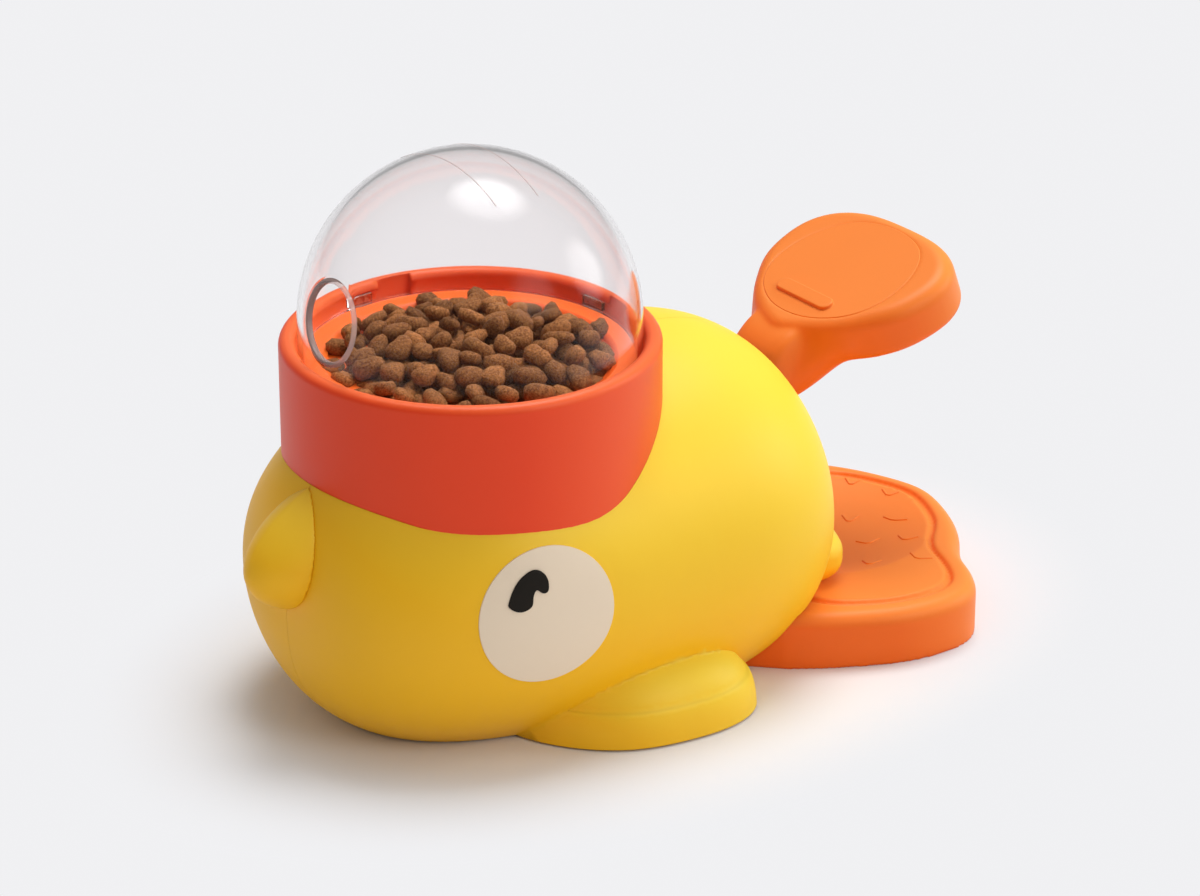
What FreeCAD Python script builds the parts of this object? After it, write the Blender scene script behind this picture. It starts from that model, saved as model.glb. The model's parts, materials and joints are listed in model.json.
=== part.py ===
import FreeCAD, Part
import math
import os

from FreeCAD import Matrix, Vector

# Duck-shaped treat feeder, in millimetres.
# +X points to the duck's tail, where the press lever and the tray are.
# -Y is the duck's left-hand side, +Z is up, and z = 0 is the floor.
# The origin is under the middle of the whole feeder.

# Body, an egg lying along X
body_front = 131.0          # widest section to nose
body_rear = 80.0            # widest section to tail
body_mid_x = -5.5
body_mid_z = 52.5
body_half_width = 76.7
body_half_height = 69.5
body_roundness = 2.9        # power of the lengthwise curve, 2 would be an ellipse
body_wall = 2.8
pole_flat_radius = 6.0      # the nose and tail end in a nearly level disc of this radius
seam_gap = 0.1
floor_gap = 0.8

# Hopper collar, bowl and dome, all round one upright axis
hopper_x = -58.0
collar_radius = 67.0
collar_inner_radius = 60.8
collar_top = 135.0
collar_wall = 3.0
ledge_top = 125.0
ledge_inner_radius = 56.5
ledge_thickness = 2.5
shell_opening_radius = 53.0
bowl_radius = 50.0
bowl_wall = 2.0
bowl_lip_top = 127.5
kibble_radius = 53.0
kibble_crown = 6.5
dome_radius = 60.3
dome_wall = 2.0
dome_centre_z = 141.0
dome_foot = 127.8
fill_hole_radius = 13.0
fill_rim_radius = 14.8
fill_hole_tilt = 11.6       # degrees above level, facing the nose
tab_count = 4
tab_half_angle = 5.0
tab_radius = 62.0
tab_low, tab_high = 128.1, 131.2
tab_rest_angle = -82.6      # middle of the first tab, locked; 14.4 degrees back it is free
slot_from, slot_to = -103.2, -76.8
slot_roof_from = -90.6      # the slot is roofed from here to its end
slot_radius = 62.5
slot_roof_z = 131.8

# Metering slide, deck and chute
throat_x = -28.5
throat_length = 16.0
throat_width = 30.0
slide_low, slide_high = 86.3, 97.4
slide_front_x, slide_rear_x = -54.0, 37.0
slide_half_width = 17.5
slide_gap = 0.4
deck_thickness = 3.0
deck_front_x, deck_rear_x = -57.0, 31.0
deck_hole_x = (-20.2, -4.5)
rail_height = 6.0
chute_half_width = 17.0
chute_wall = 1.8
chute_high = (-24.0, 70.0)  # floor line, as (x, z)
chute_low = (70.0, 25.5)
chute_depth = 14.0

# Press lever and its pivot across the body
pivot_x, pivot_z = 52.5, 58.0
axle_radius = 3.0
axle_half_length = 28.0
lever_swing = 22.0
hub_radius = 8.5
hub_half_length = 19.5
arm_length = 37.5
arm_half_thickness = 4.0
arm_half_width = 4.5
drive_pin_radius = 2.5
paddle_x, paddle_z = 92.0, 114.2    # middle of the paddle's top plane
paddle_pitch = 20.0
paddle_thickness = 18.5
paddle_top_rounding = 6.0
neck_half_width = 14.5
neck_rounding = 4.5
pad_gap = 0.15
pad_recess = 1.6
running_gap = 0.05

# Return spring between the deck and the lever's heel
spring_x = 24.0
spring_radius = 4.2
spring_wire = 1.0
spring_turns = 6
heel_top = 61.0

# Side frames that carry the pivot
frame_inner_y = 20.5
frame_thickness = 4.0
bush_radius = 5.0
bush_flange_radius = 7.5
bush_flange = 0.8

# Base plate
base_low, base_top = 1.5, 4.5
base_rear_x = 18.0
rubber_pad_radius = 7.0

# Tray
tray_height = 20.8
tray_tip_x = 152.0
tray_heel_x = 22.5
tray_wall = 3.0
dish_tip_x = 144.7
tray_moat_floor = 19.0      # bottom of the groove inside the tray's rim
tray_moat_width = 3.0
tray_island_top = 20.6
tray_dish = 5.6             # depth of the hollow in the middle
tray_gap = 0.8

# Outlet hood on the tail, over the tray
hood_low, hood_high = 21.4, 38.6
hood_end_x, hood_mid_x = 73.0, 86.5
hood_half_width = 49.0

# Eyes, on the body's sides
eye_centre = (-75.5, -69.8, 58.5)
eye_normal = (-0.2007, -0.975, 0.0934)
eye_radius = 25.0
eye_thickness = 0.4
pupil_thickness = 0.3

os.makedirs("parts", exist_ok=True)


# Shape helpers

def box(x0, x1, y0, y1, z0, z1):
    return Part.makeBox(x1 - x0, y1 - y0, z1 - z0, Vector(x0, y0, z0))


def rod(radius, start, direction, length):
    return Part.makeCylinder(radius, length, Vector(*start), Vector(*direction))


def tube(outer, inner, start, direction, length):
    return rod(outer, start, direction, length).cut(rod(inner, start, direction, length))


def join(first, *others):
    """One solid from touching pieces."""
    result = first
    for other in others:
        result = result.fuse(other)
    return result.removeSplitter()


def group(*solids):
    return Part.makeCompound(list(solids))


def mirror_y(shape):
    return shape.mirror(Vector(0, 0, 0), Vector(0, 1, 0))


def lathe(outline, x=hopper_x):
    """Solid of revolution about the upright axis at x, from (radius, height) corners."""
    points = [Vector(x + r, 0, z) for r, z in outline]
    face = Part.Face(Part.makePolygon(points + points[:1]))
    return face.revolve(Vector(x, 0, 0), Vector(0, 0, 1), 360)


def smooth_outline(points, z=0.0):
    """Closed smooth curve through plan points, at height z."""
    curve = Part.BSplineCurve()
    curve.interpolate(Points=[Vector(x, y, z) for x, y in points], PeriodicFlag=True)
    return Part.Wire(curve.toShape())


def smooth_edge(points):
    curve = Part.BSplineCurve()
    curve.interpolate(Points=points)
    return curve.toShape()


def prism(wire, height):
    return Part.Face(wire).extrude(Vector(0, 0, height))


def side_plate(corners, low_y, high_y):
    """Plate between two side planes, from (x, z) corners."""
    points = [Vector(x, low_y, z) for x, z in corners]
    face = Part.Face(Part.makePolygon(points + points[:1]))
    return face.extrude(Vector(0, high_y - low_y, 0))


def about_pivot(shape, degrees):
    turned = shape.copy()
    turned.rotate(Vector(pivot_x, 0, pivot_z), Vector(0, 1, 0), degrees)
    return turned


def hopper_copies(shape, count=tab_count):
    copies = []
    for i in range(count):
        copy = shape.copy()
        copy.rotate(Vector(hopper_x, 0, 0), Vector(0, 0, 1), 360.0 / count * i)
        copies.append(copy)
    return copies


def ring_sector(inner, outer, low, high, start_angle, end_angle):
    """Piece of a ring round the hopper axis, angles in degrees from +X."""
    sector = Part.makeCylinder(
        outer, high - low, Vector(hopper_x, 0, low), Vector(0, 0, 1), end_angle - start_angle)
    sector.rotate(Vector(hopper_x, 0, 0), Vector(0, 0, 1), start_angle)
    return sector.cut(rod(inner, (hopper_x, 0, low), (0, 0, 1), high - low))


# Body

def egg(inset=0.0):
    """The body's rounded form, shrunk by inset on every side."""
    front, rear = body_front - inset, body_rear - inset
    radius = body_half_width - inset
    power = 2.0 / body_roundness
    steps = 9
    points = []
    for i in range(-steps, steps + 1):
        turn = abs(i) / steps * math.pi / 2
        length = (front if i < 0 else rear) * math.sin(turn) ** power
        points.append(Vector(math.copysign(length, i), radius * math.cos(turn) ** power, 0))
    points[0] = Vector(0.03 - front, pole_flat_radius, 0)
    points[-1] = Vector(rear - 0.03, pole_flat_radius, 0)
    curve = Part.BSplineCurve()
    curve.interpolate(Points=points, InitialTangent=Vector(0, 1, 0), FinalTangent=Vector(0, -1, 0))
    nose, tail = Vector(points[0].x, 0, 0), Vector(points[-1].x, 0, 0)
    edges = [curve.toShape(), Part.makeLine(points[-1], tail), Part.makeLine(tail, nose),
             Part.makeLine(nose, points[0])]
    solid = Part.Face(Part.Wire(edges)).revolve(Vector(0, 0, 0), Vector(1, 0, 0), 360)
    squash = Matrix()
    squash.A33 = (body_half_height - inset) / radius
    squash.A14 = body_mid_x
    squash.A34 = body_mid_z
    return solid.transformGeometry(squash)


def egg_height(x, y, inset=0.0):
    """Height of the body's top surface above a plan point."""
    along = abs(x - body_mid_x) / ((body_front if x < body_mid_x else body_rear) - inset)
    across = y / (body_half_width - inset)
    section = (1 - along ** body_roundness) ** (1 / body_roundness)
    return body_mid_z + (body_half_height - inset) * math.sqrt(section ** 2 - across ** 2)


foot_plan = [(-71.5, -46), (-62, -64), (-44, -79), (-23.5, -84.4), (-3.5, -84.2), (9, -78.5),
             (15.5, -69), (15, -57), (4, -45), (-34, -38)]
foot_centre = (-24.0, -56.0)
foot_wall = [(floor_gap, 1.0), (6.5, 0.985), (11.0, 0.955), (13.4, 0.925)]
foot_cap = [(13.4, 0.905), (17.0, 0.85), (21.0, 0.74), (24.5, 0.56), (26.0, 0.4)]


def foot_stack(levels):
    wires = []
    for z, scale in levels:
        points = [(foot_centre[0] + (x - foot_centre[0]) * scale,
                   foot_centre[1] + (y - foot_centre[1]) * scale) for x, y in foot_plan]
        wires.append(smooth_outline(points, z))
    return Part.makeLoft(wires, True)


def left_foot():
    """Foot block with a step line between its wall and its cap."""
    return join(foot_stack(foot_wall), foot_stack(foot_cap))


shell_screws = [(-113.0, 72.0), (-103.0, 30.0), (-65.0, 13.5), (24.0, 107.5)]
shell_screw_boss = 4.6
collar_screw_radius = 61.0
collar_screw_angles = [45, 135, 225, 315]
base_screws = [(-74.0, 37.5), (0.0, 44.5)]


def collar_screw_points():
    points = []
    for angle in collar_screw_angles:
        turn = math.radians(angle)
        x = hopper_x + collar_screw_radius * math.cos(turn)
        y = collar_screw_radius * math.sin(turn)
        points.append((x, y, egg_height(x, y)))
    return points


collar_boss_depth = 15.0


def shell_bosses():
    """Screw posts inside the left half."""
    bosses = []
    for x, z in shell_screws:
        bosses.append(rod(shell_screw_boss, (x, -80, z), (0, 1, 0), 80 - seam_gap / 2))
    for x, y, z in collar_screw_points():
        if y < 0:
            bosses.append(rod(5.4, (x, y, z - collar_boss_depth), (0, 0, 1), 2 * collar_boss_depth))
    for x, y in base_screws:
        bosses.append(rod(4.4, (x, -y, base_top), (0, 0, 1), 12))
        bosses.append(box(x - 1.5, x + 1.5, -y - 14, -y, base_top, base_top + 12))
    return bosses


def shell_openings():
    tail_corners = [(tray_heel_x - tray_gap, -45.5), (37, -60.6), (50, -69.3), (63, -76.4), (87, -87),
                    (127, -87), (127, 1), (tray_heel_x - tray_gap, 1)]
    outline = [Vector(x, y, -1) for x, y in tail_corners]
    return [box(-200, 200, -120, 5, -60, floor_gap),
            rod(shell_opening_radius, (hopper_x, 0, 62), (0, 0, 1), 90),
            box(52, 100, -17.5, 5, 62, 101.4),
            prism(Part.makePolygon(outline + outline[:1]), tray_height + tray_gap + 1),
            box(50, 100, -22, 5, tray_height, hood_high + 0.4),
            rod(4.1, (-150, 0, beak_peg_z), (1, 0, 0), 30)]


def shell_screw_holes(with_heads):
    cuts = []
    for x, z in shell_screws:
        if with_heads:
            cuts.append(rod(1.7, (x, -12, z), (0, 1, 0), 14))
            cuts.append(rod(3.4, (x, -90, z), (0, 1, 0), 84))
        else:
            cuts.append(rod(1.25, (x, -12, z), (0, 1, 0), 14))
    for x, y, z in collar_screw_points():
        if y < 0:
            cuts.append(rod(1.7, (x, y, z - collar_boss_depth - 1), (0, 0, 1), 2 * collar_boss_depth))
    for x, y in base_screws:
        cuts.append(rod(1.25, (x, -y, base_top - 1), (0, 0, 1), 11))
    return cuts


def half_shell(with_heads):
    """Left half of the body; the right half is its mirror image, with the screws' heads."""
    half = box(-200, 200, -120, -seam_gap / 2, -60, 180)
    inner = egg(body_wall).common(half)
    outer = egg().common(half)
    skin = egg(body_wall - 0.8).common(half)
    shell = outer.cut(inner)
    shell = shell.fuse(left_foot().cut(inner))
    shell = shell.fuse([boss.common(skin) for boss in shell_bosses()])
    shell = shell.cut(shell_openings() + shell_screw_holes(with_heads))
    return max(shell.Solids, key=lambda solid: solid.Volume)


# Beak, two bulging flanks that meet in a ridge on the middle plane

beak_peg_z = 66.0
# Places along X with the ridge's top and bottom height and the half width there
beak_sections = [(-116, 98.0, 46.0, 18.2), (-124, 95.0, 47.4, 17.6), (-131, 91.7, 49.2, 16.5),
                 (-137, 88.0, 50.9, 14.8), (-142, 84.1, 53.0, 12.5), (-146, 80.0, 55.7, 9.8),
                 (-149.2, 75.6, 58.9, 6.7), (-151.2, 71.2, 62.4, 3.5), (-152, 68.2, 65.4, 1.2)]


def left_half(shape):
    return shape.common(box(-200, 200, -120, 0, -60, 220))


def beak():
    wires = []
    for x, top, bottom, half_width in beak_sections:
        upper, lower = Vector(x, 0, top), Vector(x, 0, bottom)
        middle_z = (top + bottom) / 2
        left = Part.Arc(upper, Vector(x, -half_width, middle_z), lower).toShape()
        right = Part.Arc(lower, Vector(x, half_width, middle_z), upper).toShape()
        wires.append(Part.Wire([left, right]))
    bill = Part.makeLoft(wires, True)
    nose = egg(-0.1).common(box(-160, -110, -26, 26, 36, 106))
    flank = left_half(bill).cut(left_half(nose))
    flank = max(flank.Solids, key=lambda solid: solid.Volume)
    peg = rod(4.0, (-136, 0, beak_peg_z), (1, 0, 0), 13)
    return join(flank, mirror_y(flank), peg)


# Eyes

pupil_outline = [(-14.4, 7.4), (-12.4, 12.0), (-7.2, 17.4), (-3.4, 18.3), (-1.1, 16.8),
                 (0.4, 11.6), (-0.4, 9.5), (-2.2, 9.6), (-4.0, 11.0), (-5.2, 9.4),
                 (-6.2, 5.4), (-9.2, 4.0), (-12.8, 5.0)]


def eye_frame():
    normal = Vector(*eye_normal).normalize()
    rearward = Vector(1, 0, 0) - normal * normal.x
    rearward.normalize()
    return Vector(*eye_centre), normal, rearward, rearward.cross(normal) * -1


def left_eye():
    """Disc that lies on the body's curve."""
    centre, normal, rearward, upward = eye_frame()
    core = Part.makeCylinder(eye_radius, 40, centre - normal * 20, normal)
    under_collar = rod(collar_radius + 0.15, (hopper_x, 0, 75), (0, 0, 1), 30)
    return core.common(egg(-0.05 - eye_thickness)).cut([egg(-0.05), under_collar])


def left_pupil():
    centre, normal, rearward, upward = eye_frame()
    points = [centre - normal * 20 + rearward * a + upward * b for a, b in pupil_outline]
    curve = Part.BSplineCurve()
    curve.interpolate(Points=points, PeriodicFlag=True)
    core = Part.Face(Part.Wire(curve.toShape())).extrude(normal * 40)
    base = 0.1 + eye_thickness
    return core.common(egg(-base - pupil_thickness)).cut(egg(-base))


# Hopper

def hopper_collar():
    low = 70.0
    under_ledge = ledge_top - ledge_thickness
    wall_inner = collar_radius - collar_wall
    ring = lathe([(wall_inner, low), (collar_radius, low), (collar_radius, collar_top),
                  (collar_inner_radius, collar_top), (collar_inner_radius, ledge_top),
                  (ledge_inner_radius, ledge_top), (ledge_inner_radius, under_ledge),
                  (wall_inner, under_ledge)])
    rim_edges = [e for e in ring.Edges if abs(e.BoundBox.ZMin - collar_top) < 0.01
                 and abs(e.BoundBox.ZMax - collar_top) < 0.01]
    ring = ring.makeFillet(2.8, rim_edges)
    left = left_half(ring).cut(left_half(egg(-0.12)))
    ring = join(left, mirror_y(left))
    for x, y, z in collar_screw_points():
        post = rod(4.0, (x, y, low), (0, 0, 1), under_ledge - low + 0.2)
        ring = ring.fuse(post.cut(egg(-0.12)))
    open_slots = hopper_copies(ring_sector(
        collar_inner_radius - 1, slot_radius, bowl_lip_top, collar_top + 5,
        slot_from, slot_roof_from))
    roofed_slots = hopper_copies(ring_sector(
        collar_inner_radius - 1, slot_radius, bowl_lip_top, slot_roof_z,
        slot_roof_from - 0.1, slot_to))
    pilots = [rod(1.3, (x, y, z - 4), (0, 0, 1), 14) for x, y, z in collar_screw_points()]
    return ring.cut(open_slots + roofed_slots + pilots)


def throat_outline(z, grow=0.0):
    ellipse = Part.Ellipse(Vector(throat_x, 0, z), throat_width / 2 + grow, throat_length / 2 + grow)
    edge = ellipse.toShape()
    edge.rotate(Vector(throat_x, 0, z), Vector(0, 0, 1), 90)
    return Part.Wire(edge)


def ring_outline(radius, z):
    return Part.Wire(Part.makeCircle(radius, Vector(hopper_x, 0, z)))


def funnel(radius, top, bottom, grow=0.0):
    """Sloping cone from the round hopper to the oval throat."""
    return Part.makeLoft([ring_outline(radius, top), throat_outline(bottom, grow)], True, True)


def hopper_bowl():
    lip_outer = collar_inner_radius - 0.4
    lip = lathe([(bowl_radius, ledge_top), (lip_outer, ledge_top),
                 (lip_outer, bowl_lip_top), (bowl_radius, bowl_lip_top)])
    skirt = funnel(bowl_radius + bowl_wall, ledge_top + 0.5, slide_high + slide_gap, 1.6)
    bowl = lip.fuse(skirt)
    hollow = funnel(bowl_radius, bowl_lip_top + 0.01, slide_high + slide_gap - 0.01)
    lip_edge_relief = lathe([(bowl_radius - 1, bowl_lip_top - 1.2),
                             (bowl_radius + 1.8, bowl_lip_top + 0.01),
                             (bowl_radius - 1, bowl_lip_top + 0.01)])
    return bowl.cut([hollow, lip_edge_relief]).removeSplitter()


def kibble_fill():
    """The food that fills the bowl, heaped in the middle."""
    inset = 0.3
    low = slide_high + slide_gap + inset
    level = bowl_lip_top + 0.05
    fill = funnel(bowl_radius - inset, level, low, -inset)
    heap_height = kibble_crown
    ball_radius = (kibble_radius ** 2 + heap_height ** 2) / (2 * heap_height)
    ball = Part.makeSphere(ball_radius, Vector(hopper_x, 0, level + heap_height - ball_radius))
    heap = ball.common(rod(kibble_radius + 1, (hopper_x, 0, level), (0, 0, 1), heap_height + 1))
    return join(fill, heap)


def dome_direction():
    tilt = math.radians(fill_hole_tilt)
    return Vector(-math.cos(tilt), 0, math.sin(tilt))


def dome():
    centre = Vector(hopper_x, 0, dome_centre_z)
    inner_radius = dome_radius - dome_wall
    above = box(hopper_x - 80, hopper_x + 80, -80, 80, dome_centre_z, 220)
    cap = Part.makeSphere(dome_radius, centre).cut(Part.makeSphere(inner_radius, centre))
    cap = cap.common(above)
    skirt = tube(dome_radius, inner_radius, (hopper_x, 0, dome_foot), (0, 0, 1),
                 dome_centre_z - dome_foot)
    tab = ring_sector(dome_radius - 1, tab_radius, tab_low, tab_high,
                      tab_rest_angle - tab_half_angle, tab_rest_angle + tab_half_angle)
    facing = dome_direction()
    rim = Part.makeCylinder(fill_rim_radius, 3.6, centre + facing * 56.3, facing)
    bore = Part.makeCylinder(fill_hole_radius, 30, centre + facing * 45, facing)
    return join(cap, skirt, rim, *hopper_copies(tab)).cut(bore)


# Deck, metering slide and chute

def gate_deck():
    top = slide_low - 0.3
    plate = box(deck_front_x, deck_rear_x, -frame_inner_y, frame_inner_y, top - deck_thickness, top)
    rails = []
    for side in (-1, 1):
        inner_y = side * (slide_half_width + slide_gap)
        low, high = sorted((inner_y, side * frame_inner_y))
        rails.append(box(deck_front_x, deck_rear_x - 4, low, high, top, top + rail_height))
    hole = box(deck_hole_x[0], deck_hole_x[1], -throat_width / 2, throat_width / 2, top - 5, top + 1)
    spigot = rod(spring_radius - spring_wire - 0.6, (spring_x, 0, top - deck_thickness),
                 (0, 0, -1), 4)
    return join(plate, *rails, spigot).cut(hole)


def gate_slide():
    half_x, half_y = throat_length / 2, throat_width / 2
    plate = box(slide_front_x, slide_rear_x, -slide_half_width, slide_half_width,
                slide_low, slide_high)
    pocket = box(throat_x - half_x, throat_x + half_x, -half_y, half_y, 80, 100)
    pin_x = pin_place()[0]
    ear_low, ear_high = slide_low, slide_high + 3
    ears = []
    for side in (-1, 1):
        low, high = sorted((side * 5.0, side * 9.5))
        ears.append(box(slide_rear_x - 8, pin_x + 7.5, low, high, ear_low, ear_high))
    slot = box(pin_x - drive_pin_radius - 0.3, pin_x + drive_pin_radius + 0.3, -12, 12, 91.6, 98.4)
    lightening = [box(-14, 9, -14.5, -1.5, slide_low + 2, 100), box(-14, 9, 1.5, 14.5, slide_low + 2, 100),
                  box(12, 28, -14.5, 14.5, slide_low + 2, 100)]
    return join(plate, *ears).cut([pocket, slot] + lightening)


def pin_place():
    lean = math.radians(lever_swing / 2)
    return pivot_x - arm_length * math.sin(lean), pivot_z + arm_length * math.cos(lean)


def chute_corners(side_inset=0.0):
    high_x, high_z = chute_high
    low_x, low_z = chute_low
    top_z = slide_low - 0.3 - deck_thickness
    fall = (high_z - low_z) / (low_x - high_x)
    mouth_x = deck_hole_x[1] + 2.5
    return [(high_x + side_inset, high_z - fall * side_inset), (low_x, low_z),
            (low_x, low_z + chute_depth), (mouth_x, high_z - fall * (mouth_x - high_x) + chute_depth),
            (mouth_x - side_inset, top_z), (high_x + side_inset, top_z)]


def chute():
    """Open channel that slopes from under the deck to the tail."""
    outer_y = chute_half_width + chute_wall
    drop = chute_wall * 1.15
    outline = chute_corners()
    outline[0] = (outline[0][0], outline[0][1] - drop)
    outline[1] = (outline[1][0], outline[1][1] - drop)
    block = side_plate(outline, -outer_y, outer_y)
    hollow_corners = chute_corners(chute_wall)
    hollow_corners[1] = (chute_low[0] + 1, chute_low[1] - 0.47)
    hollow_corners[2] = (chute_low[0] + 1, chute_low[1] + 60)
    hollow_corners[3] = (hollow_corners[3][0], chute_low[1] + 61)
    hollow_corners[4] = (hollow_corners[3][0], 90)
    hollow_corners[5] = (hollow_corners[5][0], 90)
    return block.cut(side_plate(hollow_corners, -chute_half_width, chute_half_width))


def outlet_hood():
    """Rounded visor round the outlet, over the tray."""
    middle = Vector(hood_mid_x, 0, hood_low)
    left = Vector(hood_end_x, -hood_half_width, hood_low)
    right = Vector(hood_end_x, hood_half_width, hood_low)
    back_x = 40.0
    edges = [Part.Arc(left, middle, right).toShape(),
             Part.makeLine(right, Vector(back_x, hood_half_width, hood_low)),
             Part.makeLine(Vector(back_x, hood_half_width, hood_low),
                           Vector(back_x, -hood_half_width, hood_low)),
             Part.makeLine(Vector(back_x, -hood_half_width, hood_low), left)]
    block = prism(Part.Wire(edges), hood_high - hood_low)
    corners = [e for e in block.Edges if e.BoundBox.XMin > hood_end_x - 1
               and e.BoundBox.ZLength > 10]
    block = block.makeFillet(12.0, corners)
    rims = [e for e in block.Edges if e.BoundBox.XMax > back_x + 1 and e.BoundBox.ZLength < 0.01
            and e.BoundBox.XMin > back_x - 1 and not e.BoundBox.XMax < back_x + 0.5]
    block = block.makeFillet(7.4, rims)
    mouth = box(40, 100, -chute_half_width, chute_half_width, 25.2, 36.4)
    return max(block.cut([egg(-0.1), mouth]).Solids, key=lambda solid: solid.Volume)


# Side frames, pivot and spring

def side_frame(side):
    outline = [(-50, base_top), (13, base_top), (19, 25), (64, 25), (64, 50), (59, 70),
               (42, 82), (34, 92), (-57, 92), (-50, 60)]
    low, high = sorted((side * frame_inner_y, side * (frame_inner_y + frame_thickness)))
    plate = side_plate(outline, low, high)
    flanges = []
    near, far = sorted((side * (frame_inner_y + 1), side * (frame_inner_y + frame_thickness + 9)))
    for x in (-42, 2):
        flanges.append(box(x - 6, x + 6, near, far, base_top, base_top + 3))
    start_y = side * 10
    windows = [rod(12, (x, start_y, z), (0, side, 0), 30) for x, z in ((-34, 40), (-4, 40), (-34, 70))]
    bore = rod(bush_radius, (pivot_x, start_y, pivot_z), (0, side, 0), 30)
    screw_holes = [rod(1.5, (x, side * 29, base_top - 1), (0, 0, 1), 6) for x in (-42, 2)]
    return join(plate, *flanges).cut(windows + [bore] + screw_holes)


def bush(side):
    inner_y = frame_inner_y - bush_flange
    shank = tube(bush_radius, axle_radius + running_gap, (pivot_x, side * inner_y, pivot_z),
                 (0, side, 0), frame_thickness + bush_flange)
    flange = tube(bush_flange_radius, axle_radius + running_gap,
                  (pivot_x, side * inner_y, pivot_z), (0, side, 0), bush_flange)
    return join(shank, flange)


def lever_axle():
    return rod(axle_radius, (pivot_x, -axle_half_length, pivot_z), (0, 1, 0), 2 * axle_half_length)


def axle_clips():
    clips = []
    for side in (-1, 1):
        start = (pivot_x, side * (frame_inner_y + frame_thickness + 0.5), pivot_z)
        clips.append(tube(5.6, axle_radius + 0.02, start, (0, side, 0), 1.2))
    return group(*clips)


def drive_pin():
    x, z = pin_place()
    return rod(drive_pin_radius, (x, -10.5, z), (0, 1, 0), 21)


def spring_path():
    """Points a quarter turn apart, with the point between each pair, for smooth arcs."""
    low = heel_top + spring_wire
    high = slide_low - 0.3 - deck_thickness - spring_wire
    eighths = spring_turns * 8
    points = []
    for i in range(eighths + 1):
        turn = math.pi / 4 * i
        rise = low + (high - low) * i / eighths
        points.append(Vector(spring_x + spring_radius * math.cos(turn),
                             spring_radius * math.sin(turn), rise))
    return points


def return_spring():
    points = spring_path()
    arcs = [Part.Arc(points[i], points[i + 1], points[i + 2]).toShape()
            for i in range(0, len(points) - 2, 2)]
    path = Part.Wire(arcs)
    start = arcs[0].tangentAt(arcs[0].FirstParameter)
    section = Part.Wire(Part.makeCircle(spring_wire / 2, points[0], start))
    pitch = (points[-1].z - points[0].z) / spring_turns
    print("return spring: pitch", round(pitch, 2), "least gap to itself", round(pitch - spring_wire, 2))
    return path.makePipeShell([section], True, False)


# Press lever

paddle_half = [(-20.5, 0), (-17, 11.9), (-9.8, 23.2), (-0.9, 31.5), (8.8, 38.3), (20.5, 41.4),
               (30.8, 41), (39.5, 36.8), (46.2, 28.4), (49.8, 17), (50.7, 6)]
pad_half = [(-11.7, 0), (-10.2, 10.4), (-6.4, 18.5), (-0.3, 25.3), (10.7, 29.9), (23.5, 29.3),
            (32.6, 25.7), (40.2, 19), (44.5, 8)]


def mirrored_plan(half):
    """Closed plan points from one half, whose first point lies on the middle line."""
    return half + [(x, -y) for x, y in reversed(half[1:])]


def on_paddle(shape):
    """Puts a shape drawn on the level plane z = 0 onto the paddle's top plane."""
    placed = shape.copy()
    placed.rotate(Vector(0, 0, 0), Vector(0, 1, 0), -paddle_pitch)
    placed.translate(Vector(paddle_x, 0, paddle_z))
    return placed


def paddle_prism(half, low, high, scale=1.0, middle=16.0):
    points = [((x - middle) * scale + middle, y * scale) for x, y in mirrored_plan(half)]
    return prism(smooth_outline(points, low), high - low)


def rounded_paddle():
    block = paddle_prism(paddle_half, -paddle_thickness, 0.0)
    top = [e for e in block.Edges if e.BoundBox.ZMin > -0.01]
    block = block.makeFillet(paddle_top_rounding, top)
    bottom = [e for e in block.Edges if e.BoundBox.ZMax < -paddle_thickness + 0.01]
    return block.makeFillet(3.0, bottom)


def side_curve(poles, y):
    curve = Part.BezierCurve()
    curve.setPoles([Vector(x, y, z) for x, z in poles])
    return curve.toShape()


def neck():
    low_y = -neck_half_width
    top = side_curve([(91, 109), (66, 110), (57, 90), (51, 60)], low_y)
    under = side_curve([(60.5, 56.5), (70, 72), (77, 85), (97, 96)], low_y)
    edges = [top, Part.makeLine(Vector(51, low_y, 60), Vector(60.5, low_y, 56.5)), under,
             Part.makeLine(Vector(97, low_y, 96), Vector(91, low_y, 109))]
    block = Part.Face(Part.Wire(edges)).extrude(Vector(0, 2 * neck_half_width, 0))
    long_edges = [e for e in block.Edges if e.BoundBox.YLength < 0.01 and e.BoundBox.ZLength > 30]
    return block.makeFillet(neck_rounding, long_edges)


def lever():
    hub = rod(hub_radius, (pivot_x, -hub_half_length, pivot_z), (0, 1, 0), 2 * hub_half_length)
    arm = box(pivot_x - arm_half_width, pivot_x + arm_half_width, -arm_half_thickness,
              arm_half_thickness, pivot_z, pivot_z + arm_length)
    arm = arm.fuse(rod(arm_half_width, (pivot_x, -arm_half_thickness, pivot_z + arm_length),
                       (0, 1, 0), 2 * arm_half_thickness))
    arm = about_pivot(arm, -lever_swing / 2)
    heel = box(spring_x - 6, pivot_x, -6, 6, heel_top - 4.5, heel_top)
    body = join(on_paddle(rounded_paddle()), neck(), hub, arm, heel)
    pad_seat = on_paddle(paddle_prism(pad_half, -pad_recess, 5.0))
    cavity = on_paddle(paddle_prism(pad_half, -paddle_thickness + 3.5, 0, 0.86))
    pin_x, pin_z = pin_place()
    bores = [rod(axle_radius, (pivot_x, -30, pivot_z), (0, 1, 0), 60),
             rod(drive_pin_radius, (pin_x, -30, pin_z), (0, 1, 0), 60)]
    return body.cut([pad_seat, cavity] + bores)


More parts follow.
